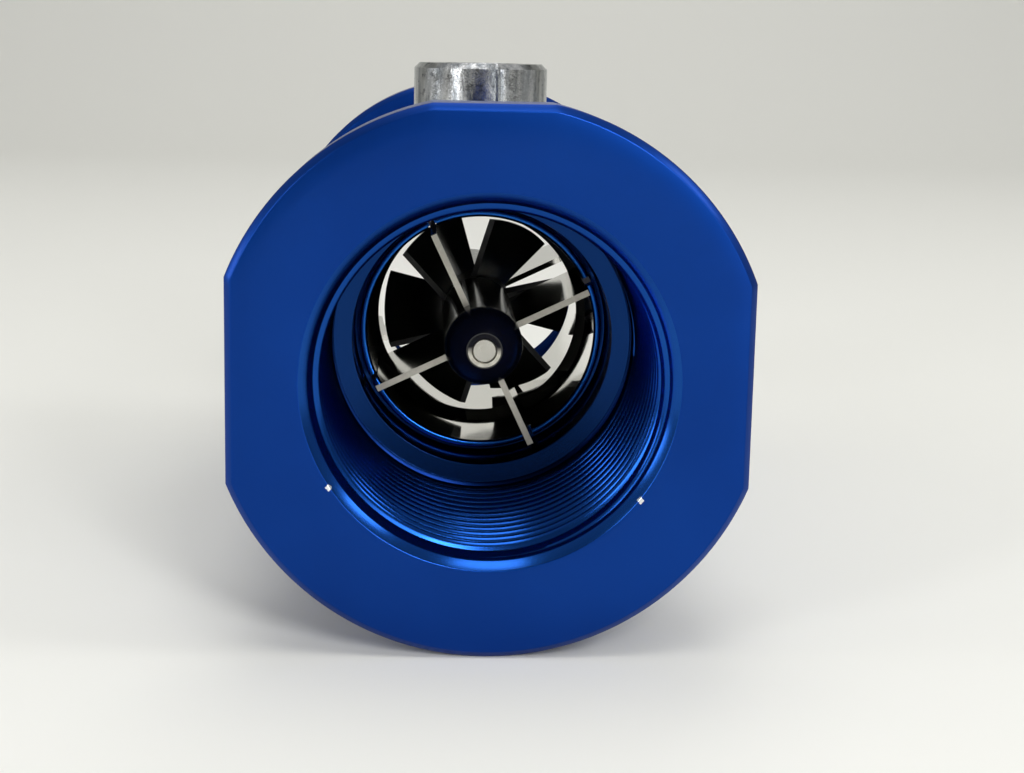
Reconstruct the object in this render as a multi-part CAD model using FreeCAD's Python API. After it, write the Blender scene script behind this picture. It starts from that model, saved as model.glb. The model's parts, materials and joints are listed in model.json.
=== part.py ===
"""Turbine flow meter, size DN32, with two G1-1/4 female ports and a magnetic pickup.

A turned housing holds a measuring sleeve. Two vaned supports, one at each end of the
sleeve, carry a fixed shaft, and a six-bladed rotor spins on that shaft. A pickup in a
boss on top of the housing senses the blades as they pass.

Frame: +Y runs along the bore from the inlet to the outlet, +Z is up through the pickup,
and the origin is under the middle of the housing, at the height of its lowest point.
All lengths are in millimetres. Every piece is built about the bore axis and raised to
its height when it is saved. A depth is measured from an end face towards the middle.
"""

import FreeCAD
import Part

import math
import os

# ---------------------------------------------------------------- driving dimensions

# Housing
body_length = 124.0          # face to face
flange_diameter = 64.5
flange_thickness = 11.0
across_flats = 60.0          # the two wrench flats at the sides of each flange
top_flat_height = 31.5       # bore axis to the flat on top of each flange
flange_chamfer = 0.8
neck_diameter = 53.0
neck_fillet = 2.0

# Ports, parallel pipe thread G1-1/4, bored to the thread's inside diameter
thread_inside_diameter = 38.95
mouth_diameter = 43.5
mouth_chamfer = 1.0
countersink_depth = 3.4      # where the countersink meets the thread
full_thread_length = 20.0
runout_reduction = 0.3       # the run-out is bored this much smaller, on the radius
port_depth = 34.4            # end face to the shoulder
counterbore_gap = 0.77       # round the end of the measuring sleeve
counterbore_depth = 44.0

# Measuring sleeve
sleeve_depth = 41.1          # end face to the sleeve's end
sleeve_bore = 30.66          # where the supports sit
sleeve_wall = 1.0
throat_diameter = 28.5       # round the rotor
throat_margin = 0.3          # the throat is longer than the rotor by this at each end
sleeve_lip_radius = 0.45
sleeve_clearance = 0.03
notch_width = 1.2
notch_depth = 3.0
notch_clearance = 0.1        # behind the vane's ear
ear_setback = 1.4            # from the end of the sleeve to the vane's ear

# Supports: a hub with a domed nose and four vanes
nose_depth = 24.0            # end face to the tip of the nose
hub_diameter = 10.1
nose_flat_diameter = 4.6
vane_count = 4
vane_first_angle = 25.5      # degrees up from +X, seen along +Y
vane_thickness = 0.8
vane_front_depth = 32.0
vane_end_margin = 2.5        # from the back of the vane to the end of its hub
vane_root_diameter = 7.0
vane_tip_clearance = 0.05
slot_clearance = 0.01

# Shaft and its end bushes
shaft_diameter = 3.2
shaft_chamfer = 0.2
shaft_clearance = 0.02
bush_diameter = 4.2
bush_length = 3.0
bush_rim = 0.15              # how far the bush stands out of the nose

# Rotor
rotor_offset = 2.0           # from the middle of the housing towards the outlet
rotor_length = 11.8
rotor_tip_diameter = 27.1
rotor_hub_diameter = 10.1
rotor_bore_gap = 0.12        # round the shaft, between the two bearings
blade_count = 6
blade_thickness = 0.8
blade_front_angle = 72.6     # front edge of the first blade, seen along +Y
blade_twist = 26.5           # degrees, from the front edge round to the rear edge
blade_front_offset = 2.15    # the front edge runs beside the axis by this
blade_rear_offset = -0.9
blade_sections = 5
blade_margin = 0.4           # the blade is shorter than the hub by this at each end
blade_root_depth = 2.6       # how far the blade runs into the hub
rotor_gap = 0.7              # support hub to rotor hub, at each end

# Rotor bearings
bearing_diameter = 6.4
bearing_length = 3.0
bearing_clearance = 0.03
washer_diameter = 5.6
washer_gap = 0.15

# Pickup boss
boss_diameter = 19.0
boss_top_height = 35.4       # above the bore axis
boss_chamfer = 0.75
seat_height = 25.6           # spot face on the neck
seat_clearance = 0.5
stem_diameter = 14.0
stem_clearance = 0.03
stem_tip_height = 18.6
stem_floor = 0.8             # wall left between the coil and the stem's tip
stem_hole_gap = 0.1
seal_section = 1.5
seal_squeeze = 0.12
seal_corner_radius = 0.4

# Pickup inside the boss
socket_thread_inside_diameter = 10.92   # M12x1
socket_chamfer = 0.6
socket_depth = 6.0
coil_cavity_diameter = 10.6
pickup_clearance = 0.05
pole_diameter = 2.6
magnet_diameter = 5.0
magnet_length = 1.8
resin_cover = 0.6            # between the magnet and the connector insert
bobbin_flange_thickness = 0.7
bobbin_wall = 0.5
winding_margin = 0.4
insert_thickness = 1.6
contact_count = 4
contact_first_angle = 45.0
contact_circle_diameter = 5.0
contact_outer_diameter = 1.6
contact_inner_diameter = 0.9

# Every cutting solid reaches this far past the surface that it starts from
overrun = 1.0

# ---------------------------------------------------------------- derived dimensions

half_length = body_length / 2
axis_height = flange_diameter / 2
flange_radius = flange_diameter / 2
neck_radius = neck_diameter / 2
thread_inside_radius = thread_inside_diameter / 2
sleeve_inner_radius = sleeve_bore / 2
sleeve_outer_radius = sleeve_inner_radius + sleeve_wall
sleeve_half_length = half_length - sleeve_depth
hub_radius = hub_diameter / 2
shaft_radius = shaft_diameter / 2
shaft_bore_radius = shaft_radius + shaft_clearance
rotor_half_length = rotor_length / 2
rotor_space = rotor_half_length + rotor_gap
boss_radius = boss_diameter / 2
stem_radius = stem_diameter / 2
cavity_floor = stem_tip_height + stem_floor
insert_top = boss_top_height - socket_depth
insert_bottom = insert_top - insert_thickness
cavity_radius = coil_cavity_diameter / 2
filler_radius = cavity_radius - pickup_clearance
magnet_top = insert_bottom - resin_cover
pole_top = magnet_top - magnet_length

BORE = FreeCAD.Vector(0, 1, 0)
UP = FreeCAD.Vector(0, 0, 1)
OUT = FreeCAD.Vector(1, 0, 0)
CENTRE = FreeCAD.Vector(0, 0, 0)


# ---------------------------------------------------------------- shape helpers

def turned(points):
    """A solid turned about the bore axis from (y, radius) points."""
    outline = [FreeCAD.Vector(radius, y, 0) for y, radius in points]
    wire = Part.makePolygon(outline + outline[:1])
    return Part.Face(wire).revolve(CENTRE, BORE, 360)


def ring(y_start, y_end, outer, inner=0.0):
    """A plain cylinder or tube about the bore axis."""
    return turned([(y_start, inner), (y_start, outer), (y_end, outer), (y_end, inner)])


def upright(z_start, z_end, outer, inner=0.0, x=0.0, y=0.0):
    """A plain cylinder or tube about a vertical line."""
    foot = FreeCAD.Vector(x, y, z_start)
    solid = Part.makeCylinder(outer, z_end - z_start, foot, UP)
    if inner > 0:
        solid = solid.cut(Part.makeCylinder(inner, z_end - z_start, foot, UP))
    return solid


def mirrored(shape):
    """The same piece at the outlet end."""
    return shape.mirror(CENTRE, BORE)


def turned_by(shape, degrees):
    """A copy turned about the bore axis, from +X towards +Z."""
    copy = shape.copy()
    copy.rotate(CENTRE, BORE, -degrees)
    return copy


def round_edges(shape, radius, y):
    """The full circles of one radius that lie at one place along the bore."""
    found = []
    for edge in shape.Edges:
        curve = edge.Curve
        if not isinstance(curve, Part.Circle) or abs(curve.Radius - radius) > 1e-3:
            continue
        if abs(curve.Center.y - y) < 1e-3 and abs(curve.Axis.y) > 0.99:
            found.append(edge)
    return found


def save(name, shape):
    """Raise a piece to its height above the ground and write it to its file."""
    placed = shape.copy()
    placed.translate(FreeCAD.Vector(0, 0, axis_height))
    placed.exportStep(os.path.join("parts", name + ".step"))


# ---------------------------------------------------------------- housing

def chamfered_ends(low, high):
    """Corners of a bar's section, (height, y), with the upper side chamfered."""
    start = -half_length
    end = start + flange_thickness
    cut = flange_chamfer
    return [
        (low, start), (high - cut, start), (high, start + cut),
        (high, end - cut), (high - cut, end), (low, end),
    ]


def inlet_flange():
    """A turned disc with a flat at each side and one on top, all edges chamfered."""
    disc = turned([(y, radius) for radius, y in chamfered_ends(0, flange_radius)])
    reach = flange_radius + overrun
    side = across_flats / 2
    right = [FreeCAD.Vector(x, y, -reach) for x, y in chamfered_ends(-reach, side)]
    left = [FreeCAD.Vector(-x, y, -reach) for x, y in chamfered_ends(-reach, side)]
    top = [FreeCAD.Vector(-reach, y, z) for z, y in chamfered_ends(-reach, top_flat_height)]
    for corners, direction in ((right, UP), (left, UP), (top, OUT)):
        face = Part.Face(Part.makePolygon(corners + corners[:1]))
        disc = disc.common(face.extrude(direction * 2 * reach))
    return disc


def port_bore():
    """The cutter for one port, from its end face to the middle of the housing."""
    face = -half_length
    thread_end = face + countersink_depth + full_thread_length
    runout_radius = thread_inside_radius - runout_reduction
    counterbore_radius = sleeve_outer_radius + counterbore_gap
    centre_radius = sleeve_outer_radius + sleeve_clearance
    mouth_radius = mouth_diameter / 2
    return turned([
        (face - overrun, 0),
        (face - overrun, mouth_radius),
        (face, mouth_radius),
        (face + mouth_chamfer, mouth_radius - mouth_chamfer),
        (face + countersink_depth, thread_inside_radius),
        (thread_end, thread_inside_radius),
        (thread_end + runout_reduction, runout_radius),
        (face + port_depth, runout_radius),
        (face + port_depth, counterbore_radius),
        (face + counterbore_depth, counterbore_radius),
        (face + counterbore_depth, centre_radius),
        (0, centre_radius),
        (0, 0),
    ])


def housing():
    inlet = inlet_flange()
    neck_half = half_length - flange_thickness / 2
    neck = ring(-neck_half, neck_half, neck_radius)
    solid = inlet.fuse([neck, mirrored(inlet)]).removeSplitter()
    root = half_length - flange_thickness
    roots = round_edges(solid, neck_radius, -root) + round_edges(solid, neck_radius, root)
    solid = solid.makeFillet(neck_fillet, roots)
    seat = upright(seat_height, flange_radius, boss_radius + seat_clearance)
    hole = upright(stem_tip_height - stem_hole_gap, seat_height, stem_radius + stem_clearance)
    bore = port_bore()
    return solid.cut([bore, mirrored(bore), seat, hole])


# ---------------------------------------------------------------- measuring sleeve

def bore_profile(hub_end):
    """The inlet half of the sleeve's bore: support seat, taper, start of the throat."""
    return [
        (-sleeve_half_length, sleeve_inner_radius),
        (hub_end - vane_end_margin, sleeve_inner_radius),
        (hub_end + rotor_gap - throat_margin, throat_diameter / 2),
    ]


def measuring_sleeve():
    """A tube with a throat round the rotor and a notch for each vane."""
    half = sleeve_half_length
    inlet = bore_profile(rotor_offset - rotor_space)
    outlet = [(-y, radius) for y, radius in bore_profile(-rotor_offset - rotor_space)]
    outside = [(half, sleeve_outer_radius), (-half, sleeve_outer_radius)]
    solid = turned(inlet + outlet[::-1] + outside)
    lips = []
    for y in (-half, half):
        lips += round_edges(solid, sleeve_inner_radius, y)
        lips += round_edges(solid, sleeve_outer_radius, y)
    solid = solid.makeFillet(sleeve_lip_radius, lips)
    notches = []
    inner = sleeve_inner_radius - overrun
    reach = sleeve_wall + 2 * overrun
    for index in range(vane_count):
        corner = FreeCAD.Vector(inner, -half - overrun, -notch_width / 2)
        notch = Part.makeBox(reach, notch_depth + overrun, notch_width, corner)
        notch = turned_by(notch, vane_angle(index))
        notches += [notch, mirrored(notch)]
    return solid.cut(notches)


# ---------------------------------------------------------------- supports

def vane_angle(index):
    return vane_first_angle + index * 360.0 / vane_count


def hub_profile(hub_end):
    """Half of the support hub's outline: flat tip, domed nose, barrel."""
    tip = -half_length + nose_depth
    flat = nose_flat_diameter / 2
    dome_length = math.sqrt(hub_radius ** 2 - flat ** 2)
    middle_angle = (math.asin(flat / hub_radius) + math.pi / 2) / 2
    centre = tip + dome_length

    def at(y, radius):
        return FreeCAD.Vector(radius, y, 0)

    middle = at(centre - hub_radius * math.cos(middle_angle), hub_radius * math.sin(middle_angle))
    dome = Part.Arc(at(tip, flat), middle, at(centre, hub_radius))
    lines = [
        (at(tip, 0), at(tip, flat)),
        (at(centre, hub_radius), at(hub_end, hub_radius)),
        (at(hub_end, hub_radius), at(hub_end, 0)),
        (at(hub_end, 0), at(tip, 0)),
    ]
    edges = [Part.LineSegment(start, end).toShape() for start, end in lines]
    return Part.Wire(Part.__sortEdges__(edges + [dome.toShape()]))


def support_hub(hub_end):
    """The inlet end's hub, from its nose to hub_end along the bore."""
    tip = -half_length + nose_depth
    solid = Part.Face(hub_profile(hub_end)).revolve(CENTRE, BORE, 360)
    shaft_hole = ring(tip - overrun, hub_end + overrun, shaft_bore_radius)
    bush_hole = ring(tip - overrun, tip + bush_length, bush_diameter / 2 + shaft_clearance)
    cuts = [shaft_hole, bush_hole]
    slot_start = -half_length + vane_front_depth - slot_clearance
    slot_length = hub_end - vane_end_margin + slot_clearance - slot_start
    slot_width = vane_thickness + 2 * slot_clearance
    root = vane_root_diameter / 2 - slot_clearance
    for index in range(vane_count):
        corner = FreeCAD.Vector(root, slot_start, -slot_width / 2)
        slot = Part.makeBox(hub_radius, slot_length, slot_width, corner)
        cuts.append(turned_by(slot, vane_angle(index)))
    return solid.cut(cuts)


def support_vane(index, hub_end):
    """A flat plate from the hub to the sleeve, with an ear in the sleeve's notch."""
    front = -half_length + vane_front_depth
    back = hub_end - vane_end_margin
    root = vane_root_diameter / 2
    tip = sleeve_inner_radius - vane_tip_clearance
    ear_tip = sleeve_outer_radius - vane_tip_clearance
    ear_front = -sleeve_half_length + ear_setback
    ear_back = -sleeve_half_length + notch_depth - notch_clearance
    corners = [
        (root, front), (tip, front), (tip, ear_front), (ear_tip, ear_front),
        (ear_tip, ear_back), (tip, ear_back), (tip, back), (root, back),
    ]
    outline = [FreeCAD.Vector(radius, y, -vane_thickness / 2) for radius, y in corners]
    plate = Part.Face(Part.makePolygon(outline + outline[:1])).extrude(UP * vane_thickness)
    return turned_by(plate, vane_angle(index))


# ---------------------------------------------------------------- shaft

def shaft_end():
    return -half_length + nose_depth


def shaft():
    end = shaft_end()
    solid = ring(end, -end, shaft_radius)
    rims = round_edges(solid, shaft_radius, end) + round_edges(solid, shaft_radius, -end)
    return solid.makeChamfer(shaft_chamfer, rims)


def shaft_bush():
    """The collar that clamps the shaft in the tip of the nose."""
    tip = shaft_end()
    outer = bush_diameter / 2
    return ring(tip - bush_rim, tip + bush_length, outer, shaft_bore_radius)


def thrust_washer(hub_end):
    """The washer between a support hub and the rotor."""
    back = hub_end + rotor_gap - washer_gap
    return ring(hub_end, back, washer_diameter / 2, shaft_bore_radius)


# ---------------------------------------------------------------- rotor

def blade(front_angle):
    """One twisted plate, from its front edge to its rear edge."""
    start = rotor_offset - rotor_half_length + blade_margin
    length = rotor_length - 2 * blade_margin
    root = rotor_hub_diameter / 2 - blade_root_depth
    tip = rotor_tip_diameter / 2 + overrun
    half = blade_thickness / 2
    sections = []
    for step in range(blade_sections):
        share = step / (blade_sections - 1)
        y = start + length * share
        offset = blade_front_offset + (blade_rear_offset - blade_front_offset) * share
        low, high = offset - half, offset + half
        corners = [(root, low), (tip, low), (tip, high), (root, high)]
        outline = [FreeCAD.Vector(x, y, z) for x, z in corners]
        wire = Part.makePolygon(outline + outline[:1])
        wire.rotate(CENTRE, BORE, blade_twist * share - front_angle)
        sections.append(wire)
    return Part.makeLoft(sections, True, False)


def rotor():
    start = rotor_offset - rotor_half_length
    end = rotor_offset + rotor_half_length
    hub = ring(start, end, rotor_hub_diameter / 2)
    limit = ring(start, end, rotor_tip_diameter / 2)
    blades = []
    for index in range(blade_count):
        angle = blade_front_angle + index * 360.0 / blade_count
        blades.append(blade(angle).common(limit))
    solid = hub.fuse(blades).removeSplitter()
    front_seat = ring(start, start + bearing_length, bearing_diameter / 2)
    rear_seat = ring(end - bearing_length, end, bearing_diameter / 2)
    through = ring(start, end, shaft_radius + rotor_bore_gap)
    return solid.cut([front_seat, rear_seat, through])


def rotor_bearing(hub_end):
    start = hub_end + rotor_gap
    outer = bearing_diameter / 2
    inner = shaft_radius + bearing_clearance
    return ring(start, start + bearing_length, outer, inner)


# ---------------------------------------------------------------- pickup

def pickup_boss():
    outer = upright(seat_height, boss_top_height, boss_radius)
    rims = [edge for edge in outer.Edges if edge.BoundBox.ZMin > boss_top_height - 1e-3]
    outer = outer.makeChamfer(boss_chamfer, rims)
    stem = upright(stem_tip_height, seat_height, stem_radius)
    solid = outer.fuse(stem).removeSplitter()
    socket_radius = socket_thread_inside_diameter / 2
    lead_in = Part.makeCone(
        socket_radius, socket_radius + socket_chamfer, socket_chamfer,
        FreeCAD.Vector(0, 0, boss_top_height - socket_chamfer), UP)
    socket = upright(insert_top, boss_top_height, socket_radius)
    cavity = upright(cavity_floor, insert_top, cavity_radius)
    groove = seal_ring_space()
    return solid.cut([socket, lead_in, cavity, groove])


def seal_ring_space():
    """The square groove under the boss's shoulder that holds the seal."""
    inner = stem_radius
    outer = stem_radius + seal_section
    return upright(seat_height, seat_height + seal_section * (1 - seal_squeeze), outer, inner)


def boss_seal():
    """The seal ring, pressed to the height of its groove."""
    height = seal_section * (1 - seal_squeeze)
    inner = stem_radius + pickup_clearance
    outer = stem_radius + seal_section - pickup_clearance
    solid = upright(seat_height, seat_height + height, outer, inner)
    return solid.makeFillet(seal_corner_radius, solid.Edges)


def pole_piece():
    return upright(cavity_floor, pole_top, pole_diameter / 2)


def pickup_magnet():
    return upright(pole_top, magnet_top, magnet_diameter / 2)


def bobbin_barrel_radius():
    return pole_diameter / 2 + pickup_clearance + bobbin_wall


def coil_bobbin():
    inner = pole_diameter / 2 + pickup_clearance
    outer = filler_radius
    top = pole_top
    flange_height = bobbin_flange_thickness
    barrel = upright(cavity_floor, top, bobbin_barrel_radius(), inner)
    lower = upright(cavity_floor, cavity_floor + flange_height, outer, inner)
    upper = upright(top - flange_height, top, outer, inner)
    return barrel.fuse([lower, upper]).removeSplitter()


def coil_winding():
    bottom = cavity_floor + bobbin_flange_thickness
    top = pole_top - bobbin_flange_thickness
    outer = filler_radius - winding_margin
    return upright(bottom, top, outer, bobbin_barrel_radius())


def potting():
    """The resin round the magnet, up to the underside of the connector insert."""
    block = upright(pole_top, insert_bottom, filler_radius)
    return block.cut(upright(pole_top, magnet_top, magnet_diameter / 2))


def contact_places():
    for index in range(contact_count):
        angle = math.radians(contact_first_angle + index * 360.0 / contact_count)
        reach = contact_circle_diameter / 2
        yield reach * math.cos(angle), reach * math.sin(angle)


def connector_insert():
    solid = upright(insert_bottom, insert_top, filler_radius)
    holes = []
    for x, y in contact_places():
        holes.append(upright(insert_bottom, insert_top, contact_outer_diameter / 2, 0, x, y))
    return solid.cut(holes)


def socket_contacts():
    """Four sleeve contacts, flush with the insert's face."""
    outer = contact_outer_diameter / 2
    inner = contact_inner_diameter / 2
    tubes = [upright(insert_bottom, insert_top, outer, inner, x, y) for x, y in contact_places()]
    return Part.makeCompound(tubes)


# ---------------------------------------------------------------- the whole meter

def save_support(end, hub_end, placed):
    """One end's support, built at the inlet and then put in its place."""
    save(end + "_hub", placed(support_hub(hub_end)))
    for index in range(vane_count):
        save(end + "_vane_" + str(index + 1), placed(support_vane(index, hub_end)))
    save(end + "_shaft_bush", placed(shaft_bush()))
    save(end + "_thrust_washer", placed(thrust_washer(hub_end)))
    save(end + "_rotor_bearing", placed(rotor_bearing(hub_end)))


def main():
    os.makedirs("parts", exist_ok=True)
    save("housing", housing())
    save("measuring_sleeve", measuring_sleeve())
    save_support("inlet", rotor_offset - rotor_space, lambda shape: shape)
    save_support("outlet", -rotor_offset - rotor_space, mirrored)
    save("shaft", shaft())
    save("rotor", rotor())
    save("pickup_boss", pickup_boss())
    save("boss_seal", boss_seal())
    save("pole_piece", pole_piece())
    save("pickup_magnet", pickup_magnet())
    save("coil_bobbin", coil_bobbin())
    save("coil_winding", coil_winding())
    save("potting", potting())
    save("connector_insert", connector_insert())
    save("socket_contacts", socket_contacts())


main()
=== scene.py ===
"""Looks of the turbine flow meter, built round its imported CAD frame."""

import json
import math

import bmesh
import bpy
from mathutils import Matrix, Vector

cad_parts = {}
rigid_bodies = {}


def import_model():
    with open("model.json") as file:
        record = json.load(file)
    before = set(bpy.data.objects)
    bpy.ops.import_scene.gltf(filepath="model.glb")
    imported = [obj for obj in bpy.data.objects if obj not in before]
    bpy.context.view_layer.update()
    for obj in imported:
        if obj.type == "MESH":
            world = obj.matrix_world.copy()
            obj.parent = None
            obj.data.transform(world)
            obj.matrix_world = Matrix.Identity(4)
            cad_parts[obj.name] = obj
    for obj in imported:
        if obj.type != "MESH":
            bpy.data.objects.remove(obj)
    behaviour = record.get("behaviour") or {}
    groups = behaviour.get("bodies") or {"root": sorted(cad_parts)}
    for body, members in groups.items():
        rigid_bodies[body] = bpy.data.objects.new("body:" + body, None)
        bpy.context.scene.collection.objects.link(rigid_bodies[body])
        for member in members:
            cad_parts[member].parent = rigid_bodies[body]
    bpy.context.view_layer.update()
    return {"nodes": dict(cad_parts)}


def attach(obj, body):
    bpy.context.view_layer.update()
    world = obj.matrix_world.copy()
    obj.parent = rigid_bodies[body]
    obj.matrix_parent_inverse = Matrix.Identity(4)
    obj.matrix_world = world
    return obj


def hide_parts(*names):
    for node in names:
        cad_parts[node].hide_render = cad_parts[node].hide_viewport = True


for leftover in list(bpy.data.objects):
    bpy.data.objects.remove(leftover)

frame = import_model()
nodes = frame["nodes"]

MM = 0.001

# ---------------------------------------------------------------- sizes, mm

AXIS = 32.25                # height of the bore axis above the floor
HALF = 62.0                 # half the face-to-face length

# outside of the housing
FLANGE_R = 32.25
FLANGE_T = 11.0             # along the bore
SIDE_FLAT = 30.0            # bore axis to each side flat
TOP_FLAT = 31.5             # bore axis to the top flat
CHAMFER = 0.8               # on both rims of a flange
NECK_R = 26.5
NECK_RINGS = (0.0, 11.0, 22.0, 33.0, 44.0)      # from mid-length towards the flange
FILLET = 2.0                # between neck and flange
FILLET_STEPS = 6
FACE_MARGIN = 3.0           # a ring on each face of a flange, in from its outline
MOUTH_MARGIN = 2.0          # gives the face's direction at the mouth's corner, and makes no ring

# port, with depths from the end face
MOUTH_R = 21.75
MOUTH_CHAMFER = 1.0
THREAD_START = 3.4          # where the countersink ends
RUNOUT_START = 30.2
RUNOUT_END = 32.4
PORT_DEPTH = 34.4
COUNTERBORE_R = 17.1
COUNTERBORE_DEPTH = 44.0
SEAT_R = 16.36              # the sleeve's seat

# thread form
CREST_R = 19.475
ROOT_R = 20.955
PITCH = 2.309
FLANK = math.radians(27.5)
THREAD_ROUNDING = 0.317
ROWS_PER_TURN = 10
LEAD_IN = 0.48              # first row of the thread sheet, past the mouth's chamfer
LEAD_OUT = 0.4              # last row, past the end of the runout

# boss seat and stem hole
BOSS_SEAT_Z = 25.6
BOSS_SEAT_R = 10.0
STEM_HOLE_R = 7.03
STEM_CUT_Z = 12.0           # inside the bore, so this hole goes right through the wall
CUTTER_TOP = 40.0           # clear of the neck
CUTTER_SIDES = 96

# edges
RIM_EASE = 0.1
BORE_EASE = 0.12
SOFT_ANGLE = math.radians(12)       # flatter corners stay as they are
CREASE_ANGLE = math.radians(38)     # sharper edges are shaded as edges
BUSH_BEVEL = 0.2

# where a finish changes, or where painted shade starts
BARE_R = 15.42              # the sleeve is bare inside this radius
BARE_HALF = 20.35           # and nearer to mid-length than this
# Outside this radius the vanes' ears are painted near-black as shade.
EAR_R = 15.2                # the vanes' ears stand outside this radius
VANE_FRONT = 32.0           # end face to the front edge of the vanes
CREASE_X = 2.2              # the fine upright crease on the boss
NICKS = ((-18.25, -12.0), (17.45, -13.2))       # x and z of two nicks, from the bore axis


# ---------------------------------------------------------------- mesh helpers

def column_angles(inset):
    """Angles of the columns round the bore, with one on each end of each flat."""
    radius = FLANGE_R - inset
    side = math.acos((SIDE_FLAT - inset) / radius)
    top = math.acos((TOP_FLAT - inset) / radius)
    quarter = math.pi / 2
    keys = [-side, side, quarter - top, quarter + top, math.pi - side, math.pi + side, 2 * math.pi - side]
    counts = [36, 46, 22, 46, 36, 110]      # columns from each key to the next
    angles = []
    for start, end, count in zip(keys, keys[1:], counts):
        angles += [start + (end - start) * i / count for i in range(count)]
    return angles


COLUMNS = column_angles(0)


def flange_ring(inset, y):
    """One ring of the flange's outline, inset from its surface."""
    ring = []
    for angle in column_angles(inset):
        reach = FLANGE_R - inset
        for distance, facing in ((SIDE_FLAT, 0), (TOP_FLAT, math.pi / 2), (SIDE_FLAT, math.pi)):
            slope = math.cos(angle - facing)
            if slope > 0.1:     # only columns that face this flat
                reach = min(reach, (distance - inset) / slope)
        ring.append((reach * math.cos(angle), y, reach * math.sin(angle)))
    return ring


def round_ring(radius, y):
    return [(radius * math.cos(a), y, radius * math.sin(a)) for a in COLUMNS]


def eased(points, size):
    """A profile with each corner between its ends turned into a small arc of three points."""
    out = [points[0]]
    for before, here, after in zip(points, points[1:], points[2:]):
        a, b, c = Vector(before), Vector(here), Vector(after)
        if (b - a).angle(c - b) < SOFT_ANGLE:
            out.append(here)
            continue
        reach = min(size, (b - a).length * 0.4, (c - b).length * 0.4)
        start = b + (a - b).normalized() * reach
        end = b + (c - b).normalized() * reach
        out += [tuple(start), tuple(b * 0.5 + (start + end) * 0.25), tuple(end)]
    out.append(points[-1])
    return out


def new_object(name, data):
    piece = bpy.data.objects.new(name, data)
    bpy.context.scene.collection.objects.link(piece)
    return piece


def loop_mesh(name, rings, marked):
    """A closed mesh through rings, the last joined to the first. Marked spans get material 1."""
    count = len(rings[0])
    verts = [(x * MM, y * MM, (z + AXIS) * MM) for ring in rings for x, y, z in ring]
    faces, marks = [], []
    for i in range(len(rings)):
        after = (i + 1) % len(rings)
        for j in range(count):
            k = (j + 1) % count
            faces.append((i * count + j, i * count + k, after * count + k, after * count + j))
            marks.append(int(i in marked))
    mesh = bpy.data.meshes.new(name)
    mesh.from_pydata(verts, [], faces)
    mesh.polygons.foreach_set("material_index", marks)
    mesh.update()
    return mesh


# ---------------------------------------------------------------- the port thread

def thread_radius(share):
    """Wall radius of a 55 degree rounded thread at a share of its pitch from a root's middle."""
    from_root = abs((share + 0.5) % 1.0 - 0.5) * PITCH
    from_crest = PITCH / 2 - from_root
    touch = THREAD_ROUNDING * math.cos(FLANK)
    if from_root < touch:
        return ROOT_R - THREAD_ROUNDING + math.sqrt(THREAD_ROUNDING ** 2 - from_root ** 2)
    if from_crest < touch:
        return CREST_R + THREAD_ROUNDING - math.sqrt(THREAD_ROUNDING ** 2 - from_crest ** 2)
    middle = (CREST_R + ROOT_R) / 2
    return middle + (PITCH / 4 - from_root) / math.tan(FLANK)


def mouth_radius(depth):
    """The plain port without its thread: chamfer, countersink, bore."""
    if depth < MOUTH_CHAMFER:
        return MOUTH_R - depth
    if depth < THREAD_START:
        edge = MOUTH_R - MOUTH_CHAMFER
        return edge + (CREST_R - edge) * (depth - MOUTH_CHAMFER) / (THREAD_START - MOUTH_CHAMFER)
    return CREST_R


def thread_sheet(first, last):
    """Vertices (x, depth, z) and faces of the threaded wall between two depths."""
    turns = math.ceil((last - first) / PITCH) + 2
    rows = turns * ROWS_PER_TURN
    count = len(COLUMNS)
    verts, faces = [], []
    for m in range(rows + 1):
        for j in range(count + 1):
            angle = COLUMNS[j] if j < count else COLUMNS[0] + 2 * math.pi
            wind = (angle - COLUMNS[0]) / (2 * math.pi)
            depth = first + (m / ROWS_PER_TURN - 1.0 + wind) * PITCH
            depth = min(max(depth, first), last)
            fade = min(max((RUNOUT_END - depth) / (RUNOUT_END - RUNOUT_START), 0.0), 1.0)
            plain = mouth_radius(depth)
            cut = thread_radius(m / ROWS_PER_TURN)
            radius = max(plain, CREST_R + (cut - CREST_R) * fade)
            verts.append((radius * math.cos(angle), depth, radius * math.sin(angle)))
    row = count + 1
    for m in range(rows):
        for j in range(count):
            faces.append((m * row + j, (m + 1) * row + j, (m + 1) * row + j + 1, m * row + j + 1))
    return verts, faces


# ---------------------------------------------------------------- housing

def inlet_rings():
    """Rings of the inlet half, from mid-neck out, round the face and into the bore.

    Also gives the index of the last ring before the thread.
    """
    back = FLANGE_T + FILLET
    arc = []
    for step in range(FILLET_STEPS + 1):
        turn = math.radians(90 * step / FILLET_STEPS)
        arc.append((NECK_R + FILLET * (1 - math.cos(turn)), back - FILLET * math.sin(turn)))
    rings = [round_ring(NECK_R, -y) for y in NECK_RINGS]
    rings += [round_ring(r, -(HALF - d)) for r, d in arc]
    rim = eased([(FACE_MARGIN, FLANGE_T), (CHAMFER, FLANGE_T), (0.0, FLANGE_T - CHAMFER),
                 (0.0, CHAMFER), (CHAMFER, 0.0), (FACE_MARGIN, 0.0)], RIM_EASE)
    rings += [flange_ring(inset, -(HALF - d)) for inset, d in rim]
    edge = MOUTH_R - MOUTH_CHAMFER
    first = MOUTH_CHAMFER + LEAD_IN
    mouth = eased([(MOUTH_R + MOUTH_MARGIN, 0.0), (MOUTH_R, 0.0), (edge, MOUTH_CHAMFER),
                   (mouth_radius(first), first)], RIM_EASE)[1:]
    rings += [round_ring(r, -(HALF - d)) for r, d in mouth]
    opening = len(rings) - 1
    bore = eased([(CREST_R, RUNOUT_END + LEAD_OUT), (CREST_R, PORT_DEPTH), (COUNTERBORE_R, PORT_DEPTH),
                  (COUNTERBORE_R, COUNTERBORE_DEPTH), (SEAT_R, COUNTERBORE_DEPTH), (SEAT_R, HALF)], BORE_EASE)
    rings += [round_ring(r, -(HALF - d)) for r, d in bore]
    return rings, opening


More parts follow.
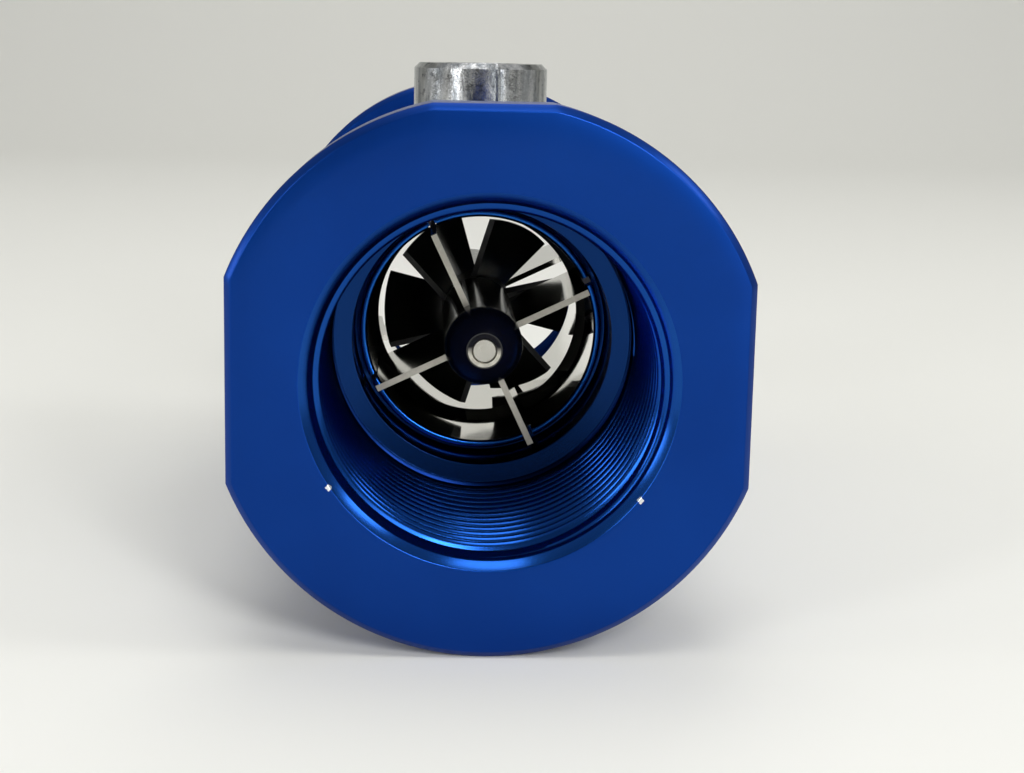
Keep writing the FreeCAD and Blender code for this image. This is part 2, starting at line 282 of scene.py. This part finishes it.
def cut_boss_seat(body):
    """Cuts the flat seat of the boss and the hole of its stem."""
    for name, radius, low in (("seat_cut", BOSS_SEAT_R, BOSS_SEAT_Z), ("stem_cut", STEM_HOLE_R, STEM_CUT_Z)):
        cutter = bmesh.new()
        bmesh.ops.create_cone(cutter, cap_ends=True, segments=CUTTER_SIDES, radius1=radius * MM,
                              radius2=radius * MM, depth=(CUTTER_TOP - low) * MM)
        bmesh.ops.translate(cutter, verts=cutter.verts, vec=(0, 0, ((CUTTER_TOP + low) / 2 + AXIS) * MM))
        cut_mesh = bpy.data.meshes.new(name)
        cutter.to_mesh(cut_mesh)
        cutter.free()
        tool = new_object(name, cut_mesh)
        cut = body.modifiers.new(name, "BOOLEAN")
        cut.object = tool
        cut.operation = "DIFFERENCE"
        cut.solver = "EXACT"
        bpy.context.view_layer.update()
        shaped = bpy.data.meshes.new_from_object(body.evaluated_get(bpy.context.evaluated_depsgraph_get()))
        body.modifiers.clear()
        body.data = shaped
        bpy.data.objects.remove(tool)


def fit_threads(body):
    """Puts a thread sheet in place of the plain, marked span of each port."""
    work = bmesh.new()
    work.from_mesh(body.data)
    plain = [face for face in work.faces if face.material_index == 1]
    bmesh.ops.delete(work, geom=plain, context="FACES")
    verts, faces = thread_sheet(MOUTH_CHAMFER + LEAD_IN, RUNOUT_END + LEAD_OUT)
    for sign in (-1, 1):
        made = [work.verts.new((x * MM, sign * (HALF - d) * MM, (z + AXIS) * MM)) for x, d, z in verts]
        for face in faces:
            corners = [made[i] for i in face]
            if sign > 0:
                corners.reverse()
            if len({tuple(round(c, 9) for c in v.co) for v in corners}) >= 3:
                work.faces.new(corners)
    bmesh.ops.remove_doubles(work, verts=work.verts, dist=2e-6)
    loose = [v for v in work.verts if not v.link_faces]
    bmesh.ops.delete(work, geom=loose, context="VERTS")
    bmesh.ops.recalc_face_normals(work, faces=work.faces)
    for face in work.faces:
        face.smooth = True
        face.material_index = 0
    work.to_mesh(body.data)
    work.free()
    body.data.set_sharp_from_angle(angle=CREASE_ANGLE)


def build_housing():
    """The housing as one closed mesh with both port threads."""
    inlet, opening = inlet_rings()
    outlet = [[(x, -y, z) for x, y, z in ring] for ring in reversed(inlet)]
    closing = 2 * len(inlet) - 3 - opening      # the same span in the outlet half
    body = new_object("housing_body", loop_mesh("housing_body", inlet + outlet[1:-1], (opening, closing)))
    cut_boss_seat(body)
    fit_threads(body)
    return body


housing_body = build_housing()
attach(housing_body, "meter_body")
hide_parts("housing")


# ---------------------------------------------------------------- colours

FACE_BLUES = (0.0034, 0.036, 0.232), (0.0042, 0.043, 0.268)
PORT_BLUES = (0.006, 0.056, 0.285), (0.008, 0.068, 0.330)
# Painted shade: a darker blue for the port's shoulder and counterbore, past the thread's runout.
RECESS_SHADE_BLUE = (0.0030, 0.025, 0.122)      # past the thread's runout
SLEEVE_BLUE = (0.010, 0.080, 0.340)
WORN_GREY = (0.42, 0.42, 0.44)
NICK_BRIGHT = (0.80, 0.82, 0.86)
POLISHED = (0.80, 0.79, 0.75)
GROUND_STEEL = (0.52, 0.51, 0.47)
VANE_SIDE = (0.62, 0.61, 0.58)
VANE_EDGES = (0.40, 0.385, 0.345), (0.60, 0.58, 0.53)
# Painted shade: near-black for the vanes' ears, standing in for the shadow in the gaps they sit in.
EAR_SHADE_BLACK = (0.02, 0.02, 0.025)
# Painted shade: the collar's near-black.
COLLAR_SHADE_BLACK = (0.012, 0.012, 0.016)
# Painted highlight: the bright steel of the collar's lower crescent.
CRESCENT_HIGHLIGHT_STEEL = (0.62, 0.60, 0.54)
PLATING = (0.25, 0.27, 0.29), (0.60, 0.61, 0.62)
PIT_GREY = (0.10, 0.11, 0.13)
PAPER = (0.80, 0.80, 0.76)
SKY = (1.0, 0.99, 0.96)


# ---------------------------------------------------------------- materials

def new_material(name, metallic=0.0):
    made = bpy.data.materials.new(name)
    made.use_nodes = True
    tree = made.node_tree
    shader = tree.nodes["Principled BSDF"]
    shader.inputs["Metallic"].default_value = metallic
    return made, tree, shader


def add(tree, kind, **settings):
    node = tree.nodes.new(kind)
    for key, value in settings.items():
        if key in node.inputs:
            node.inputs[key].default_value = value
        else:
            setattr(node, key, value)
    return node


def maths(tree, operation, first, second=0.0):
    node = tree.nodes.new("ShaderNodeMath")
    node.operation = operation
    for slot, value in ((0, first), (1, second)):
        if hasattr(value, "links"):
            tree.links.new(value, node.inputs[slot])
        else:
            node.inputs[slot].default_value = value
    return node.outputs[0]


def point(tree):
    """The point in the part's frame, in metres."""
    return tree.nodes.new("ShaderNodeTexCoord").outputs["Object"]


def from_axis(tree, where):
    """The point in millimetres from mid-length on the bore axis: x, y, z and radius."""
    split = tree.nodes.new("ShaderNodeSeparateXYZ")
    tree.links.new(where, split.inputs[0])
    x = maths(tree, "MULTIPLY", split.outputs[0], 1 / MM)
    y = maths(tree, "MULTIPLY", split.outputs[1], 1 / MM)
    z = maths(tree, "SUBTRACT", maths(tree, "MULTIPLY", split.outputs[2], 1 / MM), AXIS)
    square = maths(tree, "ADD", maths(tree, "MULTIPLY", x, x), maths(tree, "MULTIPLY", z, z))
    return x, y, z, maths(tree, "SQRT", square)


def absolute(tree, value):
    return maths(tree, "ABSOLUTE", value)


def noise(tree, vector, scale, detail=3.0, rough=0.5):
    node = add(tree, "ShaderNodeTexNoise", Scale=scale, Detail=detail, Roughness=rough)
    tree.links.new(vector, node.inputs["Vector"])
    return node.outputs["Fac"]


def turning_marks(tree, detail, *measures):
    """Noise that changes only with the given measures, such as the radius."""
    rings = tree.nodes.new("ShaderNodeCombineXYZ")
    for slot, measure in enumerate(measures):
        tree.links.new(measure, rings.inputs[slot])
    return noise(tree, rings.outputs[0], 1.0, detail, 0.6)


def stretched(tree, where, scale):
    node = tree.nodes.new("ShaderNodeMapping")
    node.inputs["Scale"].default_value = scale
    tree.links.new(where, node.inputs["Vector"])
    return node.outputs[0]


def ramp(tree, source, low, high, from_low=0.0, from_high=1.0):
    """The source carried from its own range to low and high, and held there beyond."""
    node = tree.nodes.new("ShaderNodeMapRange")
    node.inputs["From Min"].default_value = from_low
    node.inputs["From Max"].default_value = from_high
    node.inputs["To Min"].default_value = low
    node.inputs["To Max"].default_value = high
    tree.links.new(source, node.inputs["Value"])
    return node.outputs[0]


def blend_colour(tree, share, first, second):
    node = tree.nodes.new("ShaderNodeMix")
    node.data_type = "RGBA"
    for slot, value in ((0, share), (6, first), (7, second)):
        if hasattr(value, "links"):
            tree.links.new(value, node.inputs[slot])
        else:
            node.inputs[slot].default_value = (*value, 1.0) if slot else value
    return node.outputs[2]


def shades(colour, darker, lighter):
    """A colour's darker and lighter versions."""
    return tuple(c * darker for c in colour), tuple(min(c * lighter, 1.0) for c in colour)


def add_bump(tree, shader, height, strength, distance):
    node = add(tree, "ShaderNodeBump", Strength=strength, Distance=distance)
    tree.links.new(height, node.inputs["Height"])
    tree.links.new(node.outputs[0], shader.inputs["Normal"])


def with_wear(tree, where, colour, x, radius):
    """Grey specks on the flanges' outer corners, where the anodising is rubbed through."""
    corner = tree.nodes.new("ShaderNodeNewGeometry").outputs["Pointiness"]
    rim = maths(tree, "MAXIMUM", maths(tree, "GREATER_THAN", radius, FLANGE_R - 0.7),
                maths(tree, "GREATER_THAN", absolute(tree, x), SIDE_FLAT - 0.5))
    specks = ramp(tree, noise(tree, where, 500.0, 4.0, 0.7), 0.0, 1.0, 0.50, 0.72)
    worn = maths(tree, "MULTIPLY", ramp(tree, corner, 0.0, 1.0, 0.56, 0.66), specks)
    worn = maths(tree, "MULTIPLY", maths(tree, "MULTIPLY", worn, rim), 0.6)
    return blend_colour(tree, worn, colour, WORN_GREY)


def with_nicks(tree, grain, colour, x, y, z):
    """Bright nicks on the chamfer of the inlet's mouth, with ragged edges."""
    ragged = ramp(tree, grain, -0.25, 0.25)
    inlet = maths(tree, "LESS_THAN", y, 0.0)
    for nick_x, nick_z in NICKS:
        across = absolute(tree, maths(tree, "SUBTRACT", x, nick_x))
        up = absolute(tree, maths(tree, "SUBTRACT", z, nick_z))
        away = maths(tree, "ADD", maths(tree, "ADD", across, up), ragged)
        nick = maths(tree, "MULTIPLY", maths(tree, "LESS_THAN", away, 0.42), inlet)
        colour = blend_colour(tree, nick, colour, NICK_BRIGHT)
    return colour


def anodised():
    """Blue anodising over turned aluminium, smoother inside the ports, and painted darker deep in the ports
    as shade.
    """
    made, tree, shader = new_material("blue_anodising", 1.0)
    where = point(tree)
    x, y, z, radius = from_axis(tree, where)
    shader.inputs["Coat Weight"].default_value = 0.06
    shader.inputs["Coat Roughness"].default_value = 0.15
    along = absolute(tree, y)
    in_port = maths(tree, "MULTIPLY", maths(tree, "LESS_THAN", radius, MOUTH_R - 0.02),
                    maths(tree, "GREATER_THAN", along, HALF - COUNTERBORE_DEPTH - 1.0))
    # Painted shade: past the thread's runout the port is coloured darker, as if in shadow.
    recess_shade = maths(tree, "MULTIPLY", in_port, maths(tree, "LESS_THAN", along, HALF - RUNOUT_END))
    cloud = ramp(tree, noise(tree, where, 45.0, 2.0), 0.0, 1.0, 0.35, 0.65)
    colour = blend_colour(tree, in_port, blend_colour(tree, cloud, *FACE_BLUES),
                          blend_colour(tree, cloud, *PORT_BLUES))
    colour = blend_colour(tree, recess_shade, colour, RECESS_SHADE_BLUE)
    lines = turning_marks(tree, 3.0, maths(tree, "MULTIPLY", radius, 7.0), maths(tree, "MULTIPLY", y, 7.0))
    grain = noise(tree, where, 2500.0, 2.0)
    satin = maths(tree, "ADD", ramp(tree, lines, 0.32, 0.40), ramp(tree, grain, -0.03, 0.03))
    fine = maths(tree, "ADD", ramp(tree, lines, 0.17, 0.25), ramp(tree, grain, -0.02, 0.02))
    smooth = tree.nodes.new("ShaderNodeMix")
    tree.links.new(in_port, smooth.inputs[0])
    tree.links.new(satin, smooth.inputs[2])
    tree.links.new(fine, smooth.inputs[3])
    tree.links.new(smooth.outputs[0], shader.inputs["Roughness"])
    colour = with_wear(tree, where, colour, x, radius)
    colour = with_nicks(tree, grain, colour, x, y, z)
    tree.links.new(colour, shader.inputs["Base Color"])
    height = maths(tree, "ADD", maths(tree, "MULTIPLY", lines, 0.6), maths(tree, "MULTIPLY", grain, 0.4))
    add_bump(tree, shader, height, 0.2, 0.00002)
    return made


def sleeve_finish():
    """Blue anodised lips and outside, with the bore left bare and polished."""
    made, tree, shader = new_material("sleeve_finish", 1.0)
    where = point(tree)
    _, y, _, radius = from_axis(tree, where)
    bare = maths(tree, "MULTIPLY", maths(tree, "LESS_THAN", radius, BARE_R),
                 maths(tree, "LESS_THAN", absolute(tree, y), BARE_HALF))
    tree.links.new(blend_colour(tree, bare, SLEEVE_BLUE, POLISHED), shader.inputs["Base Color"])
    drift = noise(tree, stretched(tree, where, (1, 0.2, 1)), 300.0)
    rough = maths(tree, "ADD", maths(tree, "MULTIPLY", maths(tree, "SUBTRACT", 1.0, bare), 0.16),
                  ramp(tree, drift, 0.03, 0.09))
    tree.links.new(rough, shader.inputs["Roughness"])
    return made


def metal(name, colour, low, high, scale=(1, 1, 1), size=400.0, bump=0.15, depth=0.00002):
    """A bare or plated metal with fine uneven grain."""
    made, tree, shader = new_material(name, 1.0)
    grain = noise(tree, stretched(tree, point(tree), scale), size, 4.0, 0.6)
    tree.links.new(blend_colour(tree, grain, *shades(colour, 0.9, 1.08)), shader.inputs["Base Color"])
    tree.links.new(ramp(tree, grain, low, high, 0.3, 0.7), shader.inputs["Roughness"])
    add_bump(tree, shader, grain, bump, depth)
    return made


def plastic(name, colour, low, high, size=500.0, bump=0.1, depth=0.00002):
    """A plastic, rubber, resin or black coating with fine grain."""
    made, tree, shader = new_material(name)
    grain = noise(tree, point(tree), size, 3.0, 0.6)
    tree.links.new(blend_colour(tree, grain, *shades(colour, 0.85, 1.15)), shader.inputs["Base Color"])
    tree.links.new(ramp(tree, grain, low, high, 0.3, 0.7), shader.inputs["Roughness"])
    add_bump(tree, shader, grain, bump, depth)
    return made


def shaft_finish():
    """Ground shaft with concentric turning marks on its end."""
    made, tree, shader = new_material("shaft_steel", 1.0)
    where = point(tree)
    _, _, _, radius = from_axis(tree, where)
    shader.inputs["Base Color"].default_value = (*GROUND_STEEL, 1.0)
    lines = turning_marks(tree, 2.0, maths(tree, "MULTIPLY", radius, 9.0))
    patch = noise(tree, where, 900.0, 2.0)
    tree.links.new(maths(tree, "ADD", ramp(tree, lines, 0.24, 0.38), ramp(tree, patch, -0.08, 0.08)),
                   shader.inputs["Roughness"])
    add_bump(tree, shader, lines, 0.5, 0.00004)
    return made


def vane_finish():
    """Polished plate with a brushed front edge, and ears painted near-black as shade."""
    made, tree, shader = new_material("vane_steel", 1.0)
    where = point(tree)
    _, y, _, radius = from_axis(tree, where)
    ends = maths(tree, "GREATER_THAN", absolute(tree, y), HALF - VANE_FRONT - 0.1)
    brush = noise(tree, where, 1800.0, 3.0, 0.6)
    colour = blend_colour(tree, ends, VANE_SIDE, blend_colour(tree, brush, *VANE_EDGES))
    # Painted shade: the ears outside EAR_R are made near-black.
    colour = blend_colour(tree, maths(tree, "GREATER_THAN", radius, EAR_R), colour, EAR_SHADE_BLACK)
    tree.links.new(colour, shader.inputs["Base Color"])
    drift = noise(tree, where, 250.0, 3.0)
    tree.links.new(maths(tree, "ADD", maths(tree, "MULTIPLY", ends, 0.30), ramp(tree, drift, 0.05, 0.12)),
                   shader.inputs["Roughness"])
    add_bump(tree, shader, brush, 0.12, 0.00002)
    return made


def bush_finish():
    """Collar painted near-black as shade, with a painted highlight, broken up by grain, on its lower half."""
    made, tree, shader = new_material("bush_steel", 1.0)
    where = point(tree)
    _, _, z, _ = from_axis(tree, where)
    grain = noise(tree, where, 1500.0, 3.0)
    # Painted highlight: a bright crescent on the lower half stands in for reflected light; the rest stays in
    # painted shade.
    painted_crescent = maths(tree, "MULTIPLY", ramp(tree, z, 1.0, 0.0, -0.5, 0.5),
                   ramp(tree, grain, 0.7, 1.0, 0.35, 0.6))
    tree.links.new(blend_colour(tree, painted_crescent, COLLAR_SHADE_BLACK, CRESCENT_HIGHLIGHT_STEEL), shader.inputs["Base Color"])
    tree.links.new(ramp(tree, grain, 0.16, 0.30), shader.inputs["Roughness"])
    return made


def boss_finish():
    """Bright plating with upright streaks, pits, patches and a fine upright crease."""
    made, tree, shader = new_material("boss_metal", 1.0)
    where = point(tree)
    x, _, _, _ = from_axis(tree, where)
    patch = noise(tree, stretched(tree, where, (1, 1, 0.5)), 420.0, 5.0, 0.7)
    speck = noise(tree, where, 1400.0, 3.0, 0.7)
    streak = noise(tree, stretched(tree, where, (1, 1, 0.12)), 900.0, 3.0, 0.6)
    shade = blend_colour(tree, ramp(tree, streak, 0.0, 1.0, 0.35, 0.65), *PLATING)
    shade = blend_colour(tree, ramp(tree, speck, 0.0, 0.75, 0.58, 0.66), shade, PIT_GREY)
    tree.links.new(shade, shader.inputs["Base Color"])
    tree.links.new(ramp(tree, patch, 0.06, 0.30, 0.3, 0.7), shader.inputs["Roughness"])
    sway = ramp(tree, noise(tree, stretched(tree, where, (0, 0, 1)), 260.0, 1.0), -0.35, 0.35)
    crease = absolute(tree, maths(tree, "SUBTRACT", maths(tree, "SUBTRACT", x, CREASE_X), sway))
    fold = ramp(tree, crease, 1.0, 0.0, 0.0, 0.35)
    height = maths(tree, "ADD", maths(tree, "ADD", patch, maths(tree, "MULTIPLY", streak, 0.3)),
                   maths(tree, "MULTIPLY", fold, 0.6))
    add_bump(tree, shader, height, 0.5, 0.00016)
    return made


FINISH = {
    "blue": anodised(),
    "sleeve": sleeve_finish(),
    "vane": vane_finish(),
    "shaft": shaft_finish(),
    "bush": bush_finish(),
    "hub": plastic("hub_black", (0.0030, 0.0035, 0.008), 0.15, 0.21, 900.0, 0.05, 0.00001),
    "rotor": plastic("rotor_black", (0.0015, 0.0015, 0.002), 0.30, 0.42, 900.0, 0.08, 0.00001),
    "polymer": plastic("bearing_polymer", (0.09, 0.08, 0.07), 0.45, 0.6),
    "boss": boss_finish(),
    "rubber": plastic("seal_rubber", (0.012, 0.012, 0.012), 0.6, 0.75, 1500.0, 0.3),
    "pole": metal("pole_steel", (0.58, 0.57, 0.55), 0.3, 0.42),
    "magnet": metal("magnet_nickel", (0.62, 0.61, 0.58), 0.16, 0.26),
    "bobbin": plastic("bobbin_plastic", (0.72, 0.68, 0.58), 0.4, 0.5),
    "winding": metal("winding_copper", (0.62, 0.22, 0.08), 0.25, 0.4, (0.2, 0.2, 9.0), 1200.0, 0.6, 0.00005),
    "resin": plastic("potting_resin", (0.012, 0.012, 0.013), 0.15, 0.3),
    "insert": plastic("insert_plastic", (0.018, 0.018, 0.02), 0.38, 0.5, 1200.0, 0.2),
    "gold": metal("contact_gold", (0.83, 0.60, 0.22), 0.15, 0.25),
}


ONE_OF_A_KIND = {
    "housing": "blue", "measuring_sleeve": "sleeve", "shaft": "shaft", "rotor": "rotor",
    "pickup_boss": "boss", "boss_seal": "rubber", "pole_piece": "pole", "pickup_magnet": "magnet",
    "coil_bobbin": "bobbin", "coil_winding": "winding", "potting": "resin",
    "connector_insert": "insert", "socket_contacts": "gold",
}
REPEATED = {
    "_vane_": "vane", "_hub": "hub", "_shaft_bush": "bush",
    "_thrust_washer": "polymer", "_rotor_bearing": "polymer",
}


def finish_of(name):
    for wording, finish in REPEATED.items():
        if wording in name:
            return finish
    return ONE_OF_A_KIND[name]


for name, node in nodes.items():
    node.data.materials.clear()
    node.data.materials.append(FINISH[finish_of(name)])
for end in ("inlet", "outlet"):
    rim = nodes[end + "_shaft_bush"].modifiers.new("soft_rim", "BEVEL")
    rim.width = BUSH_BEVEL * MM
    rim.segments = 4
    rim.limit_method = "ANGLE"
housing_body.data.materials.clear()
housing_body.data.materials.append(FINISH["blue"])

# ---------------------------------------------------------------- floor, backdrop and light, metres

FLOOR_SIDE = 4.0
FLOOR_FRONT = -3.0
BEND_START = 0.9
BEND_R = 0.6
BEND_STEPS = 12
WALL_TOP = 3.0

# name, where it stands, what it faces, width and height, power in watts
LAMPS = (
    ("main_light", (0.25, -0.88, 0.58), (0, 0, 0.035), (0.22, 0.22), 3.0),
    ("spot_light", (0.35, -0.92, 0.36), (0, 0, 0.035), (0.12, 0.12), 1.6),
    ("right_strip", (0.55, -0.90, 0.35), (0, 0, 0.04), (0.20, 0.70), 1.6),
    ("left_strip", (-0.72, -0.76, 0.34), (0, 0, 0.04), (0.20, 0.60), 2.4),
    ("top_light", (0.03, -0.36, 1.00), (0, 0, 0.03), (0.45, 0.30), 1.8),
    ("side_left", (-0.95, -0.12, 0.25), (0, 0, 0.03), (0.25, 0.30), 1.2),
    ("side_right", (0.80, -0.17, 0.64), (0, 0, 0.03), (0.30, 0.30), 1.6),
    ("back_light", (0.1, 0.7, 1.2), (0, 0.75, 0.05), (1.4, 0.6), 5.2),
)


def backdrop():
    """A pale floor that curves up into a wall behind the object."""
    made, tree, shader = new_material("paper")
    shader.inputs["Base Color"].default_value = (*PAPER, 1.0)
    shader.inputs["Roughness"].default_value = 0.9
    shader.inputs["Specular IOR Level"].default_value = 0.1
    profile = [(FLOOR_FRONT, 0.0), (BEND_START, 0.0)]
    for step in range(1, BEND_STEPS + 1):
        turn = math.radians(90 * step / BEND_STEPS)
        profile.append((BEND_START + BEND_R * math.sin(turn), BEND_R * (1 - math.cos(turn))))
    profile.append((BEND_START + BEND_R, WALL_TOP))
    verts = [(x, y, z) for y, z in profile for x in (-FLOOR_SIDE, FLOOR_SIDE)]
    faces = [(2 * i, 2 * i + 1, 2 * i + 3, 2 * i + 2) for i in range(len(profile) - 1)]
    mesh = bpy.data.meshes.new("floor")
    mesh.from_pydata(verts, [], faces)
    for polygon in mesh.polygons:
        polygon.use_smooth = True
    floor = new_object("floor", mesh)
    floor.data.materials.append(made)


def area(name, stand, target, size, power):
    """A rectangular lamp that stands in one place and faces its target."""
    data = bpy.data.lights.new(name, "AREA")
    data.shape = "RECTANGLE"
    data.size, data.size_y = size
    data.energy = power
    lamp = new_object(name, data)
    lamp.location = stand
    lamp.rotation_euler = (Vector(target) - Vector(stand)).to_track_quat("-Z", "Y").to_euler()


def studio_world():
    """Soft light all round, brighter towards the back."""
    world = bpy.data.worlds.new("studio")
    world.use_nodes = True
    bpy.context.scene.world = world
    tree = world.node_tree
    sky = tree.nodes["Background"]
    where = tree.nodes.new("ShaderNodeTexCoord")
    split = tree.nodes.new("ShaderNodeSeparateXYZ")
    tree.links.new(where.outputs["Generated"], split.inputs[0])
    sky.inputs["Color"].default_value = (*SKY, 1.0)
    tree.links.new(ramp(tree, split.outputs[1], 0.15, 0.83, -0.6, 0.6), sky.inputs["Strength"])


backdrop()
for lamp in LAMPS:
    area(*lamp)
studio_world()

# ---------------------------------------------------------------- camera, metres and degrees

data = bpy.data.cameras.new("camera")
data.lens = 63.28
data.sensor_width = 36.0
data.clip_start, data.clip_end = 0.01, 20.0
camera = new_object("camera", data)
camera.location = (-0.00742, -0.26165, 0.06953)
camera.rotation_euler = [math.radians(a) for a in (79.424, -1.175, -2.591)]
bpy.context.scene.camera = camera
bpy.context.scene.view_settings.view_transform = "Standard"
